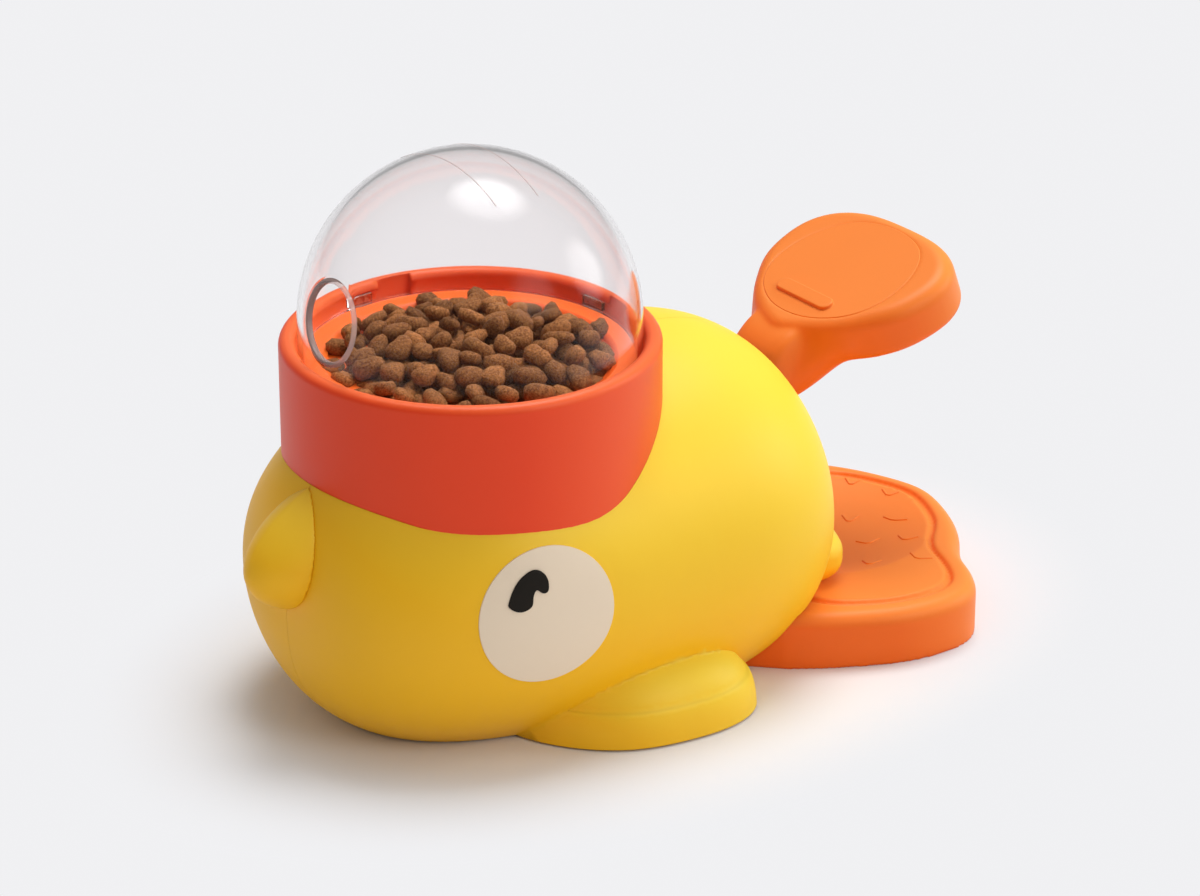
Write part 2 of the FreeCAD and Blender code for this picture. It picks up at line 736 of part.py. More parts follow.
def lever_pad():
    """Cover plate of the paddle, with a raised bar where the paw lands."""
    scale = 1 - pad_gap / 28
    plate = paddle_prism(pad_half, -pad_recess, 0, scale)
    plate = plate.makeFillet(0.4, [e for e in plate.Edges if e.BoundBox.ZMin > -0.01])
    bar = box(-4.2, 2.2, -15, 15, -0.5, 1.3)
    upright = [e for e in bar.Edges if e.BoundBox.ZLength > 1]
    bar = bar.makeFillet(3.1, upright)
    bar = bar.makeFillet(0.7, [e for e in bar.Edges if e.BoundBox.ZMin > 1.29])
    return on_paddle(join(plate, bar))


# Tray

tray_half = [(tray_heel_x, -45), (37, -59.5), (50, -68.2), (63, -75.2), (75, -80.3), (86, -82.8),
             (96, -83.2), (105, -81.3), (112.3, -76.7), (117.5, -70), (121.2, -62.8),
             (124, -56), (128.6, -48.6), (135.6, -40), (142.7, -29), (148.8, -15)]
dish_half = [(52, -50), (58, -60.5), (68, -67.6), (76, -71.4), (86, -74), (96, -74.3),
             (103.5, -72.2), (108.6, -67.8), (112.8, -61), (115.8, -54), (118.6, -46.2),
             (122.8, -39.6), (129.5, -32.8), (135.4, -26), (140, -17.5), (143.5, -8)]


def shrunk(half, middle_x, inset, reach_x, reach_y):
    """Outline points moved in by about inset, towards the middle of the tray."""
    return [(middle_x + (x - middle_x) * (1 - inset / reach_x), y * (1 - inset / reach_y))
            for x, y in half]


def foot_wire(half, tip_x, z, straight_corner=False):
    """Webbed-foot outline with a straight heel, mirrored from its left half."""
    left = [Vector(x, y, z) for x, y in half]
    right = [Vector(v.x, -v.y, z) for v in reversed(left)]
    first = 1 if straight_corner else 0
    last = len(right) - first
    toes = smooth_edge(left[first:] + [Vector(tip_x, 0, z)] + right[:last])
    edges = [toes]
    if straight_corner:
        edges = [Part.makeLine(left[0], left[1]), toes, Part.makeLine(right[-2], right[-1])]
    edges.append(Part.makeLine(right[-1], left[0]))
    return Part.Wire(edges)


def tray():
    block = prism(foot_wire(tray_half, tray_tip_x, 0, True), tray_height)
    top_edges = [e for e in block.Edges if e.BoundBox.ZMin > tray_height - 0.01
                 and e.BoundBox.XMax > tray_heel_x + 1 and e.BoundBox.XLength > 1]
    block = block.makeFillet(5.5, top_edges)
    basin = prism(foot_wire(dish_half, dish_tip_x, tray_moat_floor), 10)
    island_half = shrunk(dish_half, 98, tray_moat_width, 46, 74)
    island_low = tray_moat_floor - 3
    island = prism(foot_wire(island_half, dish_tip_x - tray_moat_width, island_low),
                   tray_island_top - island_low)
    island = island.makeFillet(0.9, [e for e in island.Edges if e.BoundBox.ZMin > tray_island_top - 0.01])
    chord = 46.0
    ball_radius = (chord ** 2 + tray_dish ** 2) / (2 * tray_dish)
    ball = Part.makeSphere(ball_radius, Vector(96, 0, tray_island_top - tray_dish + ball_radius))
    ball = ball.common(box(45, 150, -60, 60, 5, tray_island_top + 0.5))
    return block.cut([basin.cut(island), ball, tray_hollow()])


def tray_hollow():
    """Space under the tray's top, leaving its outer wall."""
    points = shrunk(tray_half, 88, tray_wall, 66, 78)
    return prism(foot_wire(points, tray_tip_x - tray_wall, -1, True), 11)


# Base plate and fasteners

def rubber_pad_places():
    return [(x, side * y) for x, y in ((-88, 22), (9.5, 38)) for side in (-1, 1)]


def frame_screw_places():
    return [(x, side * 29) for x in (-42, 2) for side in (-1, 1)]


def base_screw_places():
    return [(x, side * y) for x, y in base_screws for side in (-1, 1)]


def base_plate():
    plate = egg(body_wall + 0.3).common(box(-150, base_rear_x, -90, 90, base_low, base_top))
    recesses = [rod(rubber_pad_radius + 0.02, (x, y, 0), (0, 0, 1), base_low + 1.2)
                for x, y in rubber_pad_places()]
    holes = [rod(1.7, (x, y, 0), (0, 0, 1), 10) for x, y in frame_screw_places() + base_screw_places()]
    heads = [rod(3.1, (x, y, 0), (0, 0, 1), base_low + 1.4)
             for x, y in frame_screw_places() + base_screw_places()]
    return plate.cut(recesses + holes + heads)


def rubber_pads():
    pads = []
    for x, y in rubber_pad_places():
        pad = rod(rubber_pad_radius, (x, y, 0), (0, 0, 1), base_low + 1.2)
        edge = [e for e in pad.Edges if e.BoundBox.ZMax < 0.01]
        pads.append(pad.makeFillet(0.6, edge))
    return group(*pads)


def screw(head_radius, head_height, shank_radius, shank_length, start, direction):
    """Pan-head screw whose shank starts at start and runs along direction."""
    towards = Vector(*direction)
    foot = Vector(*start)
    shank = Part.makeCylinder(shank_radius, shank_length, foot, towards)
    head = Part.makeCylinder(head_radius, head_height, foot - towards * head_height, towards)
    head = head.makeFillet(0.5, [e for e in head.Edges if e.BoundBox.Center.distanceToPoint(
        foot - towards * head_height) < 0.01])
    drive = Part.makeCylinder(1.0, 1.0, foot - towards * head_height, towards)
    return join(head, shank).cut(drive)


def bottom_screws(places, length):
    seat = base_low + 1.4
    return group(*[screw(2.8, 1.3, 1.25, length, (x, y, seat), (0, 0, 1)) for x, y in places])


def shell_screw_set():
    return group(*[screw(2.9, 1.8, 1.25, 16, (x, 6, z), (0, -1, 0)) for x, z in shell_screws])


def collar_screws():
    return group(*[screw(3.0, 1.8, 1.25, collar_boss_depth + 7, (x, y, z - collar_boss_depth), (0, 0, 1))
                   for x, y, z in collar_screw_points()])


def build():
    pieces = {
        "body_shell_left": half_shell(False),
        "body_shell_right": mirror_y(half_shell(True)),
        "beak": beak(),
        "eye_left": left_eye(),
        "eye_right": mirror_y(left_eye()),
        "pupil_left": left_pupil(),
        "pupil_right": mirror_y(left_pupil()),
        "hopper_collar": hopper_collar(),
        "hopper_bowl": hopper_bowl(),
        "kibble_fill": kibble_fill(),
        "dome": dome(),
        "gate_deck": gate_deck(),
        "gate_slide": gate_slide(),
        "chute": chute(),
        "outlet_hood": outlet_hood(),
        "side_frame_left": side_frame(-1),
        "side_frame_right": side_frame(1),
        "bush_left": bush(-1),
        "bush_right": bush(1),
        "lever_axle": lever_axle(),
        "axle_clips": axle_clips(),
        "drive_pin": drive_pin(),
        "return_spring": return_spring(),
        "lever": lever(),
        "lever_pad": lever_pad(),
        "tray": tray(),
        "base_plate": base_plate(),
        "rubber_pads": rubber_pads(),
        "base_screws": bottom_screws(base_screw_places(), 8),
        "frame_screws": bottom_screws(frame_screw_places(), 4.2),
        "shell_screws": shell_screw_set(),
        "collar_screws": collar_screws(),
    }
    for name, shape in pieces.items():
        limits = shape.BoundBox
        print(name, "solids", len(shape.Solids), "valid", shape.isValid(), "volume", round(shape.Volume),
              "x", round(limits.XMin, 1), round(limits.XMax, 1), "z", round(limits.ZMin, 1),
              round(limits.ZMax, 1))
        shape.exportStep("parts/" + name + ".step")


build()
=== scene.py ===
import json
import math
import random

import bmesh
import bpy
from mathutils import Matrix, Vector
from mathutils.bvhtree import BVHTree

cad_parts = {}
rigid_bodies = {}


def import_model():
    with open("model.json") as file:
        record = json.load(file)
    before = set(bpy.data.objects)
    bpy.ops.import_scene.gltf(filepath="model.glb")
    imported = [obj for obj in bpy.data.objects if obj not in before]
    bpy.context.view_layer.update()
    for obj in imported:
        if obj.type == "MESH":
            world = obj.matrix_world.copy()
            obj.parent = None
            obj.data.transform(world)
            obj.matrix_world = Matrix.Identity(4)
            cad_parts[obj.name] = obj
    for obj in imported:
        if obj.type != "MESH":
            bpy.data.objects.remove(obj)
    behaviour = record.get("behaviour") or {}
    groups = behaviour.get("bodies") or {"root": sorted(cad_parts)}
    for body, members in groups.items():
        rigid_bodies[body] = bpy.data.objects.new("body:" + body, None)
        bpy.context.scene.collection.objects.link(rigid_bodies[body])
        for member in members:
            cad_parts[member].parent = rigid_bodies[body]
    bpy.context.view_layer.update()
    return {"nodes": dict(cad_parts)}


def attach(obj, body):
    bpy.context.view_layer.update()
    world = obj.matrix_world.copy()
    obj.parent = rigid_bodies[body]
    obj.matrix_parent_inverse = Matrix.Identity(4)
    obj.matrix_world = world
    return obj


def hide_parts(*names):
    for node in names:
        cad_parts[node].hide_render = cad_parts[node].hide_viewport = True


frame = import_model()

# Treat feeder shaped like a duck, in a plain white studio.
# Sizes in the dictionaries are in millimetres, apart from those of the shaders and the
# studio, which are in metres.

mm = 0.001
smoothFactor = 0.5  # how far one round of smoothing moves a point to its neighbours' middle
nodes = frame["nodes"]
scene = bpy.context.scene
print("frame loaded,", len(nodes), "nodes")


# Shader helpers

def newMaterial(name):
    material = bpy.data.materials.new(name)
    material.use_nodes = True
    tree = material.node_tree
    return material, tree, tree.nodes["Principled BSDF"]


def fill(node, values):
    for socket, value in values.items():
        node.inputs[socket].default_value = value


def addNode(tree, kind, values=None):
    node = tree.nodes.new(kind)
    fill(node, values or {})
    return node


skinSettings = {
    "inputs": (("Mottle", 0.05), ("Mottle Scale", 18.0), ("Grain Scale", 1400.0),
               ("Grain Height", 0.00004), ("Gloss", 0.45), ("Gloss Change", 0.06),
               ("Edge Radius", 0.0005)),
    "mottleDetail": 3.0,
    "grainDetail": 2.0,
    "grainStrength": 0.5,
    "noiseMiddle": 0.5,
    # Painted light: the direction that gets the full lit colour; surfaces turned away from it get the painted shade
    # colour
    "paintedLightFacing": (0.6, -0.1, 0.79),  # plastic that faces this way shows its full colour
    "paintedShadeEnds": -0.1,
    "edgeSamples": 4,
}


def buildSkinWithPaintedShade(s):
    # Faint mottling, the fine spark-eroded grain of a plastic mould, and painted light and shade by which way the
    # surface faces
    group = bpy.data.node_groups.new("skinWithPaintedShade", "ShaderNodeTree")
    face = group.interface
    face.new_socket("Color", in_out="INPUT", socket_type="NodeSocketColor")
    face.new_socket("Shade Color", in_out="INPUT", socket_type="NodeSocketColor")
    for name, start in s["inputs"]:
        socket = face.new_socket(name, in_out="INPUT", socket_type="NodeSocketFloat")
        socket.default_value = start
    face.new_socket("Color", in_out="OUTPUT", socket_type="NodeSocketColor")
    face.new_socket("Roughness", in_out="OUTPUT", socket_type="NodeSocketFloat")
    face.new_socket("Normal", in_out="OUTPUT", socket_type="NodeSocketVector")
    into = addNode(group, "NodeGroupInput")
    out = addNode(group, "NodeGroupOutput")
    place = addNode(group, "ShaderNodeTexCoord")
    link = group.links.new

    broad = addNode(group, "ShaderNodeTexNoise", {"Detail": s["mottleDetail"]})
    link(place.outputs["Object"], broad.inputs["Vector"])
    link(into.outputs["Mottle Scale"], broad.inputs["Scale"])
    centred = addNode(group, "ShaderNodeMath", {1: s["noiseMiddle"]})
    centred.operation = "SUBTRACT"
    link(broad.outputs["Fac"], centred.inputs[0])
    spread = addNode(group, "ShaderNodeMath", {2: 1.0})
    spread.operation = "MULTIPLY_ADD"
    link(centred.outputs[0], spread.inputs[0])
    link(into.outputs["Mottle"], spread.inputs[1])
    # Painted light and shade: plastic that faces down or towards the head gets the warmer painted shade colour,
    # plastic that faces up and back its full lit colour
    facing = addNode(group, "ShaderNodeVectorMath", {1: s["paintedLightFacing"]})
    facing.operation = "DOT_PRODUCT"
    link(place.outputs["Normal"], facing.inputs[0])
    paintedLightShare = addNode(group, "ShaderNodeMapRange", {"From Min": s["paintedShadeEnds"]})
    link(facing.outputs["Value"], paintedLightShare.inputs["Value"])
    paintedLightAndShade = addNode(group, "ShaderNodeMix")
    paintedLightAndShade.data_type = "RGBA"
    link(paintedLightShare.outputs["Result"], paintedLightAndShade.inputs["Factor"])
    link(into.outputs["Shade Color"], paintedLightAndShade.inputs["A"])
    link(into.outputs["Color"], paintedLightAndShade.inputs["B"])
    tint = addNode(group, "ShaderNodeHueSaturation")
    link(spread.outputs[0], tint.inputs["Value"])
    link(paintedLightAndShade.outputs["Result"], tint.inputs["Color"])
    link(tint.outputs["Color"], out.inputs["Color"])

    gloss = addNode(group, "ShaderNodeMath")
    gloss.operation = "MULTIPLY_ADD"
    link(centred.outputs[0], gloss.inputs[0])
    link(into.outputs["Gloss Change"], gloss.inputs[1])
    link(into.outputs["Gloss"], gloss.inputs[2])
    link(gloss.outputs[0], out.inputs["Roughness"])

    grain = addNode(group, "ShaderNodeTexNoise", {"Detail": s["grainDetail"]})
    link(place.outputs["Object"], grain.inputs["Vector"])
    link(into.outputs["Grain Scale"], grain.inputs["Scale"])
    bump = addNode(group, "ShaderNodeBump", {"Strength": s["grainStrength"]})
    link(grain.outputs["Fac"], bump.inputs["Height"])
    link(into.outputs["Grain Height"], bump.inputs["Distance"])
    worn = addNode(group, "ShaderNodeBevel")  # no moulded edge is knife sharp
    worn.samples = s["edgeSamples"]
    link(into.outputs["Edge Radius"], worn.inputs["Radius"])
    link(worn.outputs["Normal"], bump.inputs["Normal"])
    link(bump.outputs["Normal"], out.inputs["Normal"])
    return group


skinWithPaintedShade = buildSkinWithPaintedShade(skinSettings)


def skinnedMaterial(name, color, shade, skinValues, shaderValues):
    # Colour with its painted light and shade, roughness and normal come from the moulded skin
    material, tree, shader = newMaterial(name)
    skin = addNode(tree, "ShaderNodeGroup")
    skin.node_tree = skinWithPaintedShade
    fill(skin, {"Color": (*color, 1.0), "Shade Color": (*shade, 1.0), **skinValues})
    for output, socket in (("Color", "Base Color"), ("Roughness", "Roughness"),
                           ("Normal", "Normal")):
        tree.links.new(skin.outputs[output], shader.inputs[socket])
    fill(shader, shaderValues)
    return material, tree, shader


# shade is the painted shade colour, shown where the surface turns away from the light
def plastic(name, color, shade=None, gloss=0.42, mottle=0.05, grainHeight=0.00003,
            specular=0.5, edge=0.0005):
    skin = {"Mottle": mottle, "Gloss": gloss, "Grain Height": grainHeight, "Edge Radius": edge}
    return skinnedMaterial(name, color, shade or color, skin,
                           {"Specular IOR Level": specular})[0]


turnedSkin = {"Mottle": 0.15, "Mottle Scale": 220.0, "Grain Scale": 2500.0,
              "Grain Height": 0.00001}


def metal(name, color, gloss):
    return skinnedMaterial(name, color, color, {**turnedSkin, "Gloss": gloss},
                           {"Metallic": 1.0})[0]


# Each plastic's first colour is its lit colour, the second its painted shade colour for surfaces turned from the
# light
yellowPlastic = plastic("yellowPlastic", (0.95, 0.73, 0.055), (0.95, 0.50, 0.005),
                        gloss=0.46, specular=0.3)
collarPlastic = plastic("collarPlastic", (0.90, 0.155, 0.030), (0.86, 0.050, 0.003),
                        gloss=0.42, specular=0.35)
orangePlastic = plastic("orangePlastic", (0.94, 0.300, 0.045), (0.91, 0.140, 0.004),
                        gloss=0.46, specular=0.3)
bowlPlastic = plastic("bowlPlastic", (0.90, 0.160, 0.020), (0.86, 0.080, 0.004),
                      gloss=0.42, specular=0.3)
eyeFilm = plastic("eyeFilm", (0.86, 0.72, 0.55), (0.84, 0.68, 0.50), gloss=0.45, mottle=0.03,
                  grainHeight=0.00001, edge=0.0001)
pupilFilm = plastic("pupilFilm", (0.010, 0.007, 0.004), gloss=0.5, mottle=0.2,
                    grainHeight=0.00001, specular=0.15, edge=0.0001)
innerPlastic = plastic("innerPlastic", (0.78, 0.76, 0.70), gloss=0.45)
slidePlastic = plastic("slidePlastic", (0.62, 0.60, 0.56), gloss=0.35)
bushPlastic = plastic("bushPlastic", (0.86, 0.84, 0.80), gloss=0.3)
footRubber = plastic("footRubber", (0.03, 0.03, 0.03), gloss=0.75, grainHeight=0.00008)
pivotSteel = metal("pivotSteel", (0.62, 0.63, 0.65), gloss=0.25)
screwSteel = metal("screwSteel", (0.55, 0.56, 0.58), gloss=0.35)
springSteel = metal("springSteel", (0.5, 0.51, 0.53), gloss=0.3)

clearSettings = {
    "color": (0.975, 0.955, 0.955),
    "skin": {"Edge Radius": 0.0, "Mottle": 0.01, "Gloss": 0.03, "Gloss Change": 0.02,
             "Grain Scale": 60.0, "Grain Height": 0.00001},
    "shader": {"Transmission Weight": 1.0, "IOR": 1.45,
               "Specular Tint": (0.15, 0.15, 0.15, 1.0)},
    "shadowTint": (0.93, 0.92, 0.92, 1.0),
}


def clearPlastic(s):
    # Light goes straight through for shadows, so the food under the dome is lit
    material, tree, shader = skinnedMaterial("clearPlastic", s["color"], s["color"],
                                             s["skin"], s["shader"])
    through = addNode(tree, "ShaderNodeBsdfTransparent", {"Color": s["shadowTint"]})
    ray = addNode(tree, "ShaderNodeLightPath")
    mix = addNode(tree, "ShaderNodeMixShader")
    out = tree.nodes["Material Output"]
    tree.links.new(ray.outputs["Is Shadow Ray"], mix.inputs["Fac"])
    tree.links.new(shader.outputs["BSDF"], mix.inputs[1])
    tree.links.new(through.outputs["BSDF"], mix.inputs[2])
    tree.links.new(mix.outputs["Shader"], out.inputs["Surface"])
    return material


crustSettings = {
    "grain": {"Scale": 1300.0, "Detail": 5.0},
    "ramp": ((0.33, (0.125, 0.038, 0.007, 1.0)), (0.68, (0.345, 0.142, 0.040, 1.0))),
    "tone": {"To Min": 0.72, "To Max": 1.3},
    "pores": {"Scale": 1500.0, "Detail": 4.0},
    "bump": {"Strength": 0.8, "Distance": 0.0004},
    "shader": {"Roughness": 0.8, "Specular IOR Level": 0.25},
}


def kibbleCrust(s):
    # Dry baked food: brown crust with pores and a different shade on every piece
    material, tree, shader = newMaterial("kibbleCrust")
    link = tree.links.new
    place = addNode(tree, "ShaderNodeTexCoord")
    tone = addNode(tree, "ShaderNodeAttribute")
    tone.attribute_name = "tone"
    grain = addNode(tree, "ShaderNodeTexNoise", s["grain"])
    link(place.outputs["Object"], grain.inputs["Vector"])
    ramp = addNode(tree, "ShaderNodeValToRGB")
    for element, (position, color) in zip(ramp.color_ramp.elements, s["ramp"]):
        element.position = position
        element.color = color
    link(grain.outputs["Fac"], ramp.inputs["Fac"])
    shade = addNode(tree, "ShaderNodeHueSaturation")
    lift = addNode(tree, "ShaderNodeMapRange", s["tone"])
    link(tone.outputs["Fac"], lift.inputs["Value"])
    link(lift.outputs["Result"], shade.inputs["Value"])
    link(ramp.outputs["Color"], shade.inputs["Color"])
    link(shade.outputs["Color"], shader.inputs["Base Color"])
    pores = addNode(tree, "ShaderNodeTexNoise", s["pores"])
    link(place.outputs["Object"], pores.inputs["Vector"])
    bump = addNode(tree, "ShaderNodeBump", s["bump"])
    link(pores.outputs["Fac"], bump.inputs["Height"])
    link(bump.outputs["Normal"], shader.inputs["Normal"])
    fill(shader, s["shader"])
    return material


# Painted reflection colour of the collar, for the clear plastic's cut edge and band lines
rimSettings = {"color": (0.66, 0.46, 0.42), "alpha": 0.45}


def rimPlastic(s):
    # Painted reflection: the cut edge of the clear plastic is tinted with a little of the collar's colour
    material = plastic("rimPlastic", s["color"], gloss=0.2, mottle=0.02, grainHeight=0.0,
                       edge=0.0)
    fill(material.node_tree.nodes["Principled BSDF"], {"Alpha": s["alpha"]})
    return material


domePlastic = clearPlastic(clearSettings)
domeRim = rimPlastic(rimSettings)
kibbleCrustMaterial = kibbleCrust(crustSettings)
print("materials made")


# Mesh helpers

weldReach = 0.002  # corners of a node's faces that are this close are one point
crispFrom = 30  # degrees between two faces, from which the edge between them stays crisp


def useMaterial(piece, material):
    piece.data.materials.clear()
    piece.data.materials.append(material)


def pieceFromMesh(name, mesh, material):
    piece = bpy.data.objects.new(name, mesh)
    scene.collection.objects.link(piece)
    useMaterial(piece, material)
    return piece


def meshFrom(name, body):
    mesh = bpy.data.meshes.new(name)
    body.to_mesh(mesh)
    body.free()
    return mesh


def mergedCopy(name, node, material):
    mesh = nodes[node].data.copy()
    body = bmesh.new()
    body.from_mesh(mesh)
    bmesh.ops.remove_doubles(body, verts=body.verts, dist=weldReach * mm)
    body.to_mesh(mesh)
    body.free()
    return pieceFromMesh(name, mesh, material)


def joinRows(body, rows):
    # Quads between closed rows of points
    for low, high in zip(rows, rows[1:]):
        for j in range(len(low)):
            k = (j + 1) % len(low)
            body.faces.new((low[j], high[j], high[k], low[k]))


def surfaceOf(mesh):
    return BVHTree.FromPolygons([v.co for v in mesh.vertices],
                                [p.vertices for p in mesh.polygons])


def smoothByAngle(piece, degrees):
    mesh = piece.data
    mesh.shade_smooth()
    mesh.set_sharp_from_angle(angle=math.radians(degrees))


def applyModifiers(piece):
    graph = bpy.context.evaluated_depsgraph_get()
    mesh = bpy.data.meshes.new_from_object(piece.evaluated_get(graph))
    piece.modifiers.clear()
    piece.data = mesh


def remeshEvenly(piece, voxel):
    remesh = piece.modifiers.new("even", "REMESH")
    remesh.mode = "VOXEL"
    remesh.voxel_size = voxel * mm


def smoothRounds(piece, name, rounds, group=""):
    smooth = piece.modifiers.new(name, "SMOOTH")
    smooth.factor = smoothFactor
    smooth.iterations = rounds
    smooth.vertex_group = group


def handIn(piece, body, node):
    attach(piece, body)
    if node:
        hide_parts(node)
    return piece


def moulding(name, node, body, material):
    piece = mergedCopy(name, node, material)
    smoothByAngle(piece, crispFrom)
    even = piece.modifiers.new("even", "WEIGHTED_NORMAL")
    even.keep_sharp = True
    applyModifiers(piece)
    return handIn(piece, body, node)


def softMoulding(name, node, body, material, soft):
    # Same form with its edges worn soft, as a thick moulding has
    piece = mergedCopy(name, node, material)
    remeshEvenly(piece, soft["voxel"])
    smoothRounds(piece, "soft", soft["rounds"])
    applyModifiers(piece)
    piece.data.shade_smooth()
    useMaterial(piece, material)
    return handIn(piece, body, node)


def ease(value, low, high):
    t = min(1.0, max(0.0, (value - low) / (high - low)))
    return t * t * (3 - 2 * t)


# Body, bill, pupils and tail

shoulderSettings = {
    "axis": (-58.0, 0.0),
    "middle": -15.5,  # degrees from the side towards the head
    "span": 39.5,
    "push": 3.9,
    "heights": (58.0, 88.0),  # no swelling at the first, all of it from the second
    "outside": (30.0, 55.0),  # nor is there any inside the first of these reaches
}
billSettings = {"voxel": 0.5, "rounds": 6}


def swellShoulder(piece, s):
    # The body is fuller beside the collar than a plain egg
    cx, cy = s["axis"]
    for v in piece.data.vertices:
        x, y, z = v.co / mm
        turn = math.degrees(math.atan2(x - cx, abs(y - cy)))
        near = min(1.0, abs(turn - s["middle"]) / s["span"])
        amount = s["push"] * math.cos(math.pi / 2 * near) ** 2 * ease(z, *s["heights"])
        reach = math.hypot(x - cx, y - cy)
        if amount > 0 and reach > s["outside"][0]:
            amount *= ease(reach, *s["outside"])
            v.co += Vector(((x - cx) / reach, (y - cy) / reach, 0)) * amount * mm


swollen = [moulding("body" + side.title(), "body_shell_" + side, "base", yellowPlastic) for side in ("left", "right")]
softMoulding("bill", "beak", "base", yellowPlastic, billSettings)
moulding("tailVisor", "outlet_hood", "base", yellowPlastic)
swollen += [moulding("pupilMark" + side.title(), "pupil_" + side, "base", pupilFilm) for side in ("left", "right")]
for piece in swollen:
    swellShoulder(piece, shoulderSettings)


# Eyes

eyeSettings = {
    "centre": (-75.5, -69.8, 58.5),
    "normal": (-0.2007, -0.975, 0.0934),
    "radius": 25.0,
    "thickness": 0.45,
    "rings": 16,
    "spokes": 96,
    "castFrom": 30.0,  # distance in front of the body that the points are laid from
    "skirt": (1.004, -0.3),  # last ring, a little wider and under the body's surface
}


def buildEye(side, s):
    # A round film laid on the swollen body
    mirror = -1 if side == "right" else 1
    flip = Vector((1, mirror, 1))
    centre, normal = Vector(s["centre"]) * mm, Vector(s["normal"]).normalized()
    rearward = (Vector((1, 0, 0)) - normal * normal.x).normalized()
    upward = normal.cross(rearward)
    surface = surfaceOf(bpy.data.objects["body" + side.title()].data)
    body = bmesh.new()

    def lay(reach, turn, height):
        out = rearward * math.cos(turn) + upward * math.sin(turn)
        start = centre + normal * s["castFrom"] * mm + out * reach * s["radius"] * mm
        place = surface.ray_cast(start * flip, -normal * flip)[0]
        return body.verts.new(place + normal * flip * height * mm)

    middle = lay(0, 0, s["thickness"])
    steps = [(i / s["rings"], s["thickness"]) for i in range(1, s["rings"] + 1)] + [s["skirt"]]
    rows = [[lay(reach, 2 * math.pi * j / s["spokes"], height) for j in range(s["spokes"])]
            for reach, height in steps]
    for j in range(s["spokes"]):
        body.faces.new((middle, rows[0][j], rows[0][(j + 1) % s["spokes"]]))
    joinRows(body, rows)
    body.faces.new(rows[-1])
    bmesh.ops.recalc_face_normals(body, faces=body.faces)
    piece = pieceFromMesh("eyeDisc" + side.title(), meshFrom("eye", body), eyeFilm)
    smoothByAngle(piece, crispFrom)
    handIn(piece, "base", "eye_" + side)


for side in ("left", "right"):
    buildEye(side, eyeSettings)
print("body done")

moulding("collarRing", "hopper_collar", "base", collarPlastic)
moulding("bowl", "hopper_bowl", "base", bowlPlastic)
print("collar and bowl done")


# Lever and tray

leverSettings = {
    "voxel": 0.7,
    "rounds": 4,
    "blendRounds": 240,
    "leastWeight": 0.001,
    "junction": (84.0, 0.0, 95.0),  # where the neck runs into the paddle
    "blendReach": (20.0, 36.0),
    "flare": ((76.5, 8.5, 86.0, 7.2), (80.5, 9.5, 90.0, 8.8), (86.0, 12.0, 95.8, 9.6),
              (90.5, 17.0, 101.3, 9.0), (94.0, 22.5, 104.6, 7.6)),  # x, y, z and radius
    "flareSteps": 5,
    "flareDetail": 3,
    "paddleMiddle": (92.0, 0.0, 114.2),
    "paddlePitch": 20.0,
    "crispDepth": 1.0,  # the plane under the pad keeps its shape
    "blendDepth": 6.5,
    "padSunk": 0.45,  # the lever rises round the pad's foot by all but this
}
traySettings = {"voxel": 0.78, "rounds": 2}


def buildLever(s):
    # The neck runs into the paddle in one broad hollow curve
    pitch = math.radians(s["paddlePitch"])
    up = Vector((-math.sin(pitch), 0, math.cos(pitch)))
    piece = mergedCopy("pressLever", "lever", orangePlastic)
    body = bmesh.new()
    body.from_mesh(piece.data)
    seat = nodes["lever_pad"].data.copy()
    seat.transform(Matrix.Translation(up * -s["padSunk"] * mm))
    body.from_mesh(seat)
    for first, second in zip(s["flare"], s["flare"][1:]):
        for i in range(s["flareSteps"]):
            x, y, z, radius = Vector(first).lerp(Vector(second), i / s["flareSteps"])
            for side in (-1, 1):
                shift = Matrix.Translation(Vector((x, y * side, z)) * mm)
                bmesh.ops.create_icosphere(body, subdivisions=s["flareDetail"],
                                           radius=radius * mm, matrix=shift)
    body.to_mesh(piece.data)
    body.free()
    remeshEvenly(piece, s["voxel"])
    applyModifiers(piece)
    middle = Vector(s["paddleMiddle"])
    junction = Vector(s["junction"])
    near = piece.vertex_groups.new(name="junction")
    for v in piece.data.vertices:
        place = v.co / mm
        close = 1 - ease((place - junction).length, *s["blendReach"])
        weight = close * ease((middle - place).dot(up), s["crispDepth"], s["blendDepth"])
        if weight > s["leastWeight"]:
            near.add([v.index], weight, "REPLACE")
    smoothRounds(piece, "soft", s["rounds"])
    smoothRounds(piece, "blend", s["blendRounds"], "junction")
    applyModifiers(piece)
    piece.data.shade_smooth()
    useMaterial(piece, orangePlastic)
    handIn(piece, "lever", "lever")


buildLever(leverSettings)
moulding("pressPad", "lever_pad", "lever", orangePlastic)
tray = softMoulding("footTray", "tray", "tray", orangePlastic, traySettings)
print("lever and tray done,", len(tray.data.polygons), "tray faces")


# Grip marks in the tray, small raised hooks like a duck's skin

markSettings = {
    "marks": (  # apex, then length and direction of both arms
        ((130.8, 19.4), (5.0, 72), (5.0, 1)), ((136.0, 3.3), (5.0, 72), (4.5, -18)),
        ((113.5, -0.9), (6.0, 72), (6.0, 11)), ((125.7, -12.7), (5.0, 94), (5.5, -49)),
        ((106.8, -21.3), (5.5, 108), (6.0, 9)), ((116.7, -30.2), (5.5, 72), (5.5, -23)),
        ((91.5, -40.2), (6.0, 72), (6.5, 5)), ((107.3, -48.5), (5.5, 72), (6.0, -31)),
    ),
    "steps": 5,
    "ridge": 0.6,
    "sunk": 0.2,
    "castFrom": 100.0,
}
ridgeSides = 10


